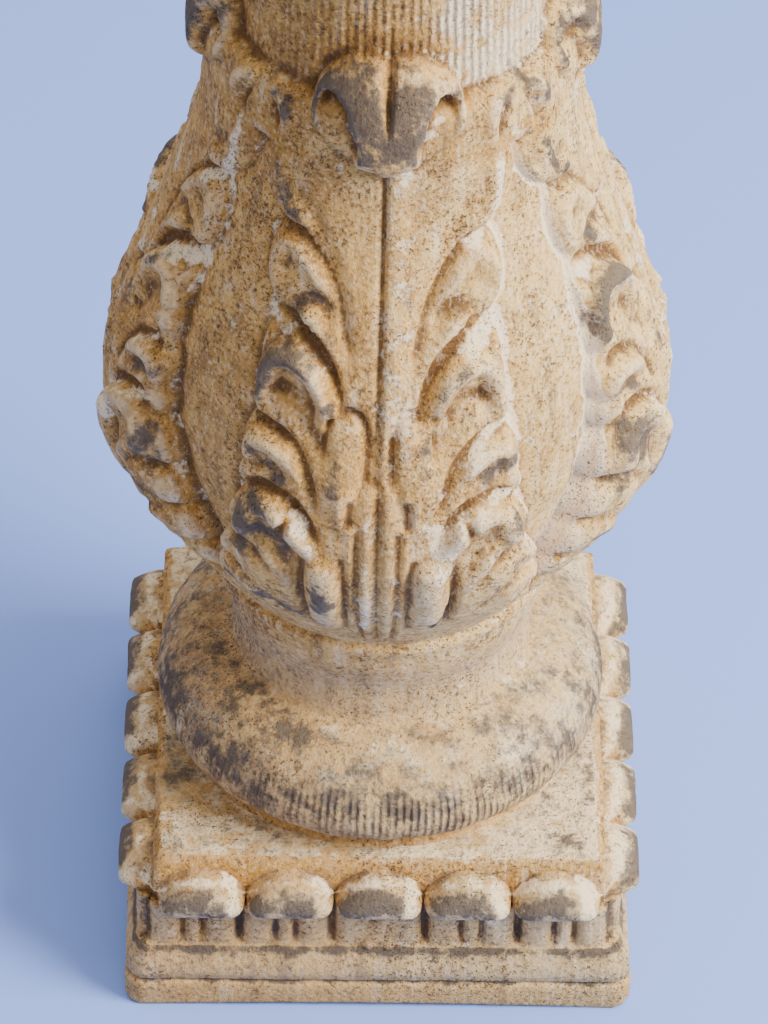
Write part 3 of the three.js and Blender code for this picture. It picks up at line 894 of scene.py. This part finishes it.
def blurred(values, passes):
    """The values with each one drawn towards its neighbours, round the rings and up them."""
    for _ in range(passes):
        values = 0.5 * values + 0.25 * (np.roll(values, 1, 1) + np.roll(values, -1, 1))
        inner = 0.25 * (values[:-2] + values[2:]) + 0.5 * values[1:-1]
        values = np.concatenate([values[:1], inner, values[-1:]])
    return values


def patina_guides(points):
    """How proud or hollow each point of the carving is, and how deep it lies in a crease."""
    radius = np.linalg.norm(points[..., :2], axis=-1)
    heights = points[..., 2]
    on_course = band(26, 29, 60, 61.5, heights)
    on_body = band(LEAF_FOOT, LEAF_FOOT + 8, 412, 420, heights)
    carved = np.maximum(on_body, on_course)
    standing = (radius - blurred(radius, BROAD_PASSES)) * carved
    sunk = (blurred(radius, FINE_PASSES) - radius) * carved
    crease = np.clip(sunk / DEEP_CREASE, 0, 1)
    return {"proud": np.clip(standing / FULLY_PROUD, -1, 1), "crease": blurred(crease, 1)}


def add_attribute(mesh, name, values):
    """A value at each point of the skin, with 0 at the two points that close it."""
    data = mesh.attributes.new(name, "FLOAT", "POINT").data
    data.foreach_set("value", np.concatenate([values.ravel(), [0, 0]]).astype(np.float32))


# Objects, materials and their nodes

def add_object(name, data):
    """A new object in the scene."""
    made = bpy.data.objects.new(name, data)
    bpy.context.collection.objects.link(made)
    return made


def new_material(name):
    """A material, and the inputs of its surface shader."""
    material = bpy.data.materials.new(name)
    material.use_nodes = True
    return material, material.node_tree.nodes["Principled BSDF"].inputs


class Field:
    """A value that varies over the stone: one output of a node. Sums and products add nodes."""

    def __init__(self, tree, kind, output, inputs, **settings):
        node = tree.nodes.new(kind)
        for name, value in settings.items():
            setattr(node, name, value)
        for key, value in inputs.items():
            if isinstance(value, Field):
                tree.links.new(value.socket, node.inputs[key])
            else:
                node.inputs[key].default_value = value
        self.tree = tree
        self.socket = node.outputs[output]

    def math(self, operation, *others):
        inputs = dict(enumerate((self, *others)))
        return Field(self.tree, "ShaderNodeMath", "Value", inputs, operation=operation)

    def __add__(self, other):
        return self.math("ADD", other)

    def __mul__(self, other):
        return self.math("MULTIPLY", other)

    def window(self, low, high):
        """0 at low and 1 at high, smooth between; low may be the greater."""
        inputs = {"Value": self, "From Min": low, "From Max": high}
        return Field(self.tree, "ShaderNodeMapRange", "Result", inputs,
                     interpolation_type="SMOOTHSTEP", clamp=True)


def noise(coords, scale, detail, rough, upright=1.0):
    """Noise with features about 1 / scale metres in size, drawn out in height by 1 / upright."""
    if upright != 1.0:
        inputs = {"Vector": coords, "Scale": (1.0, 1.0, upright)}
        coords = Field(coords.tree, "ShaderNodeMapping", "Vector", inputs)
    inputs = {"Vector": coords, "Scale": scale, "Detail": detail, "Roughness": rough}
    return Field(coords.tree, "ShaderNodeTexNoise", "Fac", inputs)


def over(colour, paint, amount):
    """A colour with paint laid over it, by an amount from 0 to 1."""
    return Field(amount.tree, "ShaderNodeMix", 2, {0: amount, 6: colour, 7: paint}, data_type="RGBA")


# Paints of the stone, in the order in which they are laid

SHADED_PALE = (0.76, 0.42, 0.115, 1)
SHADED_DEEP = (0.43, 0.21, 0.052, 1)
LIT_PALE = (0.88, 0.60, 0.235, 1)
LIT_DEEP = (0.66, 0.395, 0.12, 1)
DARK_STREAK = (0.20, 0.115, 0.055, 1)
PALE_STREAK = (0.90, 0.66, 0.38, 1)
OCHRE_WASH = (0.50, 0.235, 0.035, 1)
CREASE_DIRT_AND_SHADE = (0.12, 0.055, 0.02, 1)
PALE_GRAIN = (0.92, 0.70, 0.42, 1)
DARK_GRAIN = (0.15, 0.080, 0.035, 1)
RUBBED_HIGHLIGHT = (0.94, 0.72, 0.43, 1)
HOLLOW_DIRT_AND_SHADE = (0.14, 0.062, 0.020, 1)
BASE_GREY = (0.36, 0.30, 0.225, 1)
CHALK_WHITE = (0.97, 0.76, 0.48, 1)
SCRATCHED = (0.95, 0.78, 0.54, 1)
SOOT_BLACK = (0.10, 0.078, 0.060, 1)
RASP_SHADE = (0.16, 0.085, 0.035, 1)
PIT_BLACK = (0.06, 0.042, 0.03, 1)

# Rasp marks in a full turn: round the torus, and round the shaft
TORUS_RASPS = 186.0
SHAFT_RASPS = 112.0


def surface_fields(tree):
    """What the layers of paint share: how strong each pattern is at a point of the stone."""
    here = SimpleNamespace()
    coords = Field(tree, "ShaderNodeTexCoord", "Object", {})
    x, y, here.z = (Field(tree, "ShaderNodeSeparateXYZ", axis, {"Vector": coords}) for axis in "XYZ")
    for name in ("proud", "crease", *STAINS):
        setattr(here, name, Field(tree, "ShaderNodeAttribute", "Fac", {}, attribute_name=name))

    # Noises, from the broadest to the finest
    here.broad = noise(coords, 13.0, 5.0, 0.6)
    crowding = noise(coords, 28.0, 5.0, 0.65)
    here.patches = noise(coords, 42.0, 6.0, 0.7)
    here.soot_patches = noise(coords, 70.0, 6.0, 0.75)
    here.mottle = noise(coords, 130.0, 5.0, 0.7)
    here.streaks = noise(coords, 160.0, 4.0, 0.65, upright=0.12)
    here.grain = noise(coords, 600.0, 3.0, 0.7)
    here.scratches = noise(coords, 700.0, 2.0, 0.5, upright=0.045)
    specks = noise(coords, 1300.0, 2.0, 0.5)

    # The lit side is to the viewer's right, with a ragged border: lit tones are painted there and shaded
    # ones elsewhere, and chalk is thicker there
    here.weather_side = (x + (here.patches + -0.5) * 0.12).window(-0.045, 0.09)

    # The ochre wash is held in the joints, the cuts and the creases, and where the ochre stain is painted
    # shade
    here.wash = here.ochre.math("MAXIMUM", here.crease * 0.75) * here.patches.window(0.25, 0.55)

    # Dark grain lies in clusters, and pits are thick in some places and rare in others
    here.clusters = (here.patches * 0.5 + here.mottle * 0.5).window(0.44, 0.60)
    crowd = crowding.window(0.40, 0.62) * 0.07
    here.pits = (specks * 0.75 + here.grain * 0.25 + crowd).window(0.635, 0.70)

    # Rasp marks down the torus and, wider apart, down the bare shaft
    turn = y.math("ARCTAN2", x) + here.patches * 0.03
    on_shaft = here.z.window(0.15, 0.16)
    on_torus = on_shaft * -1.0 + 1.0
    fine = (turn * TORUS_RASPS).math("SINE") * on_torus
    wide = (turn * SHAFT_RASPS).math("SINE") * on_shaft
    here.rasp = fine * 0.75 + wide * 0.45
    here.marked = here.rasped * here.mottle.window(0.34, 0.56)
    return here


def lay_patina(here):
    """Ochre patina in painted shaded and lit tones, deeper away from the lit side and paler on it, with
    run-off streaks.
    """
    tone = (here.broad * 0.45 + here.mottle * 0.55).window(0.40, 0.62)
    shaded = over(SHADED_PALE, SHADED_DEEP, tone)
    lit = over(LIT_PALE, LIT_DEEP, tone)
    colour = over(shaded, lit, here.weather_side)
    colour = over(colour, DARK_STREAK, here.streaks.window(0.52, 0.68) * 0.5)
    return over(colour, PALE_STREAK, here.streaks.window(0.46, 0.32) * 0.5)


def lay_wash(here, colour):
    """Ochre wash in the joints and cuts, in places painted shade, and dark brown in the deepest creases as
    dirt and painted shade.
    """
    colour = over(colour, OCHRE_WASH, here.wash * 0.85)
    deep = (here.crease + here.mottle * 0.8).window(0.80, 1.30)
    return over(colour, CREASE_DIRT_AND_SHADE, deep * 0.75)


def lay_grain(here, colour):
    """Pale grain, and dark grain that is thicker in the clusters."""
    colour = over(colour, PALE_GRAIN, here.grain.window(0.46, 0.33) * 0.45)
    return over(colour, DARK_GRAIN, here.grain.window(0.51, 0.64) * (here.clusters * 0.65 + 0.22))


def lay_wear_and_shading(here, colour):
    """What stands proud is worn pale and painted as a highlight, and the hollows are painted dark as dirt
    and shade.
    """
    colour = over(colour, RUBBED_HIGHLIGHT, here.proud.window(0.2, 0.9) * 0.42)
    return over(colour, HOLLOW_DIRT_AND_SHADE, (here.proud * -1.0).window(0.05, 0.8) * 0.6)


def lay_grey(here, colour):
    """The base and the foot are greyer than the leaves, except where the ochre wash lies."""
    return over(colour, BASE_GREY, here.z.window(0.150, 0.122) * (here.wash * -0.30 + 0.32))


def lay_chalk(here, colour):
    """Chalky residue: painted borders, blotches that are thicker on the lit side, where they are partly a
    painted highlight, and fine scratches, mostly on that side.
    """
    blotches = here.patches * 0.6 + here.mottle * 0.9
    chalky = here.weather_side * 0.085 + blotches + here.chalk * 0.28
    colour = over(colour, CHALK_WHITE, chalky.window(0.90, 1.06) * 0.92)
    exposed = (here.patches + here.weather_side).window(0.5, 1.3)
    return over(colour, SCRATCHED, here.scratches.window(0.56, 0.66) * exposed * 0.3)


def lay_soot(here, colour):
    """Grey-black weathering: painted places and some of what stands proud."""
    blotches = here.soot_patches * 0.7 + here.mottle * 0.8
    sooty = here.soot * 0.34 + here.proud * 0.04 + blotches
    return over(colour, SOOT_BLACK, sooty.window(0.88, 1.10) * 0.9)


def lay_marks(here, colour):
    """Shade in the grooves of the rasp marks, dark pits, and a last thin layer of dark grain."""
    colour = over(colour, RASP_SHADE, here.rasp.window(0.1, -0.6) * here.marked * 0.45)
    colour = over(colour, PIT_BLACK, here.pits * 0.8)
    return over(colour, DARK_GRAIN, here.grain.window(0.53, 0.64) * (here.clusters * 0.45 + 0.15))


def surface_relief(here):
    """Bump from the rasp marks, the grain and the pits."""
    waves = here.mottle * 0.5 + here.streaks * 0.6
    height = here.rasp * here.marked + here.grain * 0.85 + waves + here.pits * -0.4
    inputs = {"Strength": 0.9, "Distance": 0.0011, "Height": height}
    return Field(height.tree, "ShaderNodeBump", "Normal", inputs)


def stone_material():
    """Pale stone under an ochre patina, with chalk, soot and specks where the carving holds them, and with
    painted light and shade: lit and shaded tones, highlights on what stands proud, and shade in the hollows.
    """
    material, shader = new_material("weathered_stone")
    here = surface_fields(material.node_tree)
    colour = lay_patina(here)
    for lay in (lay_wash, lay_grain, lay_wear_and_shading, lay_grey, lay_chalk, lay_soot, lay_marks):
        colour = lay(here, colour)
    rough = here.patches.math("MULTIPLY_ADD", 0.2, 0.72)
    for name, field in (("Base Color", colour), ("Normal", surface_relief(here)), ("Roughness", rough)):
        material.node_tree.links.new(field.socket, shader[name])
    shader["Specular IOR Level"].default_value = 0.14
    return material


# The pedestal

def make_pedestal():
    """The carved skin, with the values that guide its paint at each point, and its material."""
    skin = stone_skin()
    points = skin[..., :3]
    mesh = stone_mesh(points)
    stains = dict(zip(STAINS, np.moveaxis(skin[..., 3:], -1, 0)))
    for name, values in (patina_guides(points) | stains).items():
        add_attribute(mesh, name, values)
    mesh.materials.append(stone_material())
    return add_object("pedestal_stone", mesh)


stone = make_pedestal()
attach(stone, "root")
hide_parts("pedestal")


# Floor, lights and camera, in metres

FLOOR_REACH = 6.0
FLOOR_BLUE = (0.27, 0.41, 0.96, 1)
LIGHT_AIM = (0, 0, 0.2)

# The photograph's viewpoint: angles in degrees, and a long lens whose focal length is given in
# pixels of the photograph's height
CAMERA_PITCH = 44.2077
CAMERA_YAW = 0.8845
CAMERA_ROLL = 1.2051
CAMERA_TARGET = (0.0002, 0.0, 0.1589)
CAMERA_DISTANCE = 1.9525
FOCAL_PIXELS = 5600
PHOTO_HEIGHT = 1024
SENSOR_WIDTH = 36.0


def make_floor():
    """A plain pale floor, blue like the cloth in the photograph."""
    corners = [(x * FLOOR_REACH, y * FLOOR_REACH, 0) for x, y in ((-1, -1), (1, -1), (1, 1), (-1, 1))]
    floor_mesh = bpy.data.meshes.new("floor")
    floor_mesh.from_pydata(corners, [], [(0, 1, 2, 3)])
    material, shader = new_material("pale_floor")
    shader["Base Color"].default_value = FLOOR_BLUE
    shader["Roughness"].default_value = 0.9
    floor_mesh.materials.append(material)
    floor = add_object("floor", floor_mesh)


def add_light(name, place, size, power, colour):
    """A round soft light aimed at the pedestal; size is its diameter."""
    light = bpy.data.lights.new(name, "AREA")
    light.shape = "DISK"
    light.size = size
    light.energy = power
    light.color = colour
    lamp = add_object(name, light)
    lamp.location = place
    lamp.rotation_euler = (Vector(LIGHT_AIM) - Vector(place)).to_track_quat("-Z", "Y").to_euler()


def set_world(strength, colour):
    """Even light from all round."""
    world = bpy.data.worlds.new("studio")
    world.use_nodes = True
    background = world.node_tree.nodes["Background"]
    background.inputs["Color"].default_value = colour
    background.inputs["Strength"].default_value = strength
    bpy.context.scene.world = world


def add_camera():
    """The photograph's camera: a little over 1.5 m up, looking down at the pedestal."""
    pitch, yaw, roll = (math.radians(angle) for angle in (CAMERA_PITCH, CAMERA_YAW, CAMERA_ROLL))
    forward = Vector((math.sin(yaw) * math.cos(pitch), math.cos(yaw) * math.cos(pitch), -math.sin(pitch)))
    level = Vector((math.cos(yaw), -math.sin(yaw), 0))
    upward = level.cross(forward)
    right = math.cos(roll) * level + math.sin(roll) * upward
    up = math.cos(roll) * upward - math.sin(roll) * level
    data = bpy.data.cameras.new("camera")
    data.sensor_width = SENSOR_WIDTH
    data.lens = SENSOR_WIDTH * FOCAL_PIXELS / PHOTO_HEIGHT
    data.clip_end = 20.0
    camera = add_object("camera", data)
    turn = Matrix((right, up, -forward)).transposed().to_4x4()
    camera.matrix_world = Matrix.Translation(Vector(CAMERA_TARGET) - forward * CAMERA_DISTANCE) @ turn
    bpy.context.scene.camera = camera


make_floor()
set_world(0.70, (0.97, 0.97, 1.0, 1))
add_light("window", (1.45, -0.62, 1.3), 1.0, 84.0, (1.0, 0.97, 0.90))
add_light("ceiling", (0.3, 0.2, 2.2), 1.8, 20.0, (0.97, 0.97, 1.0))
add_camera()
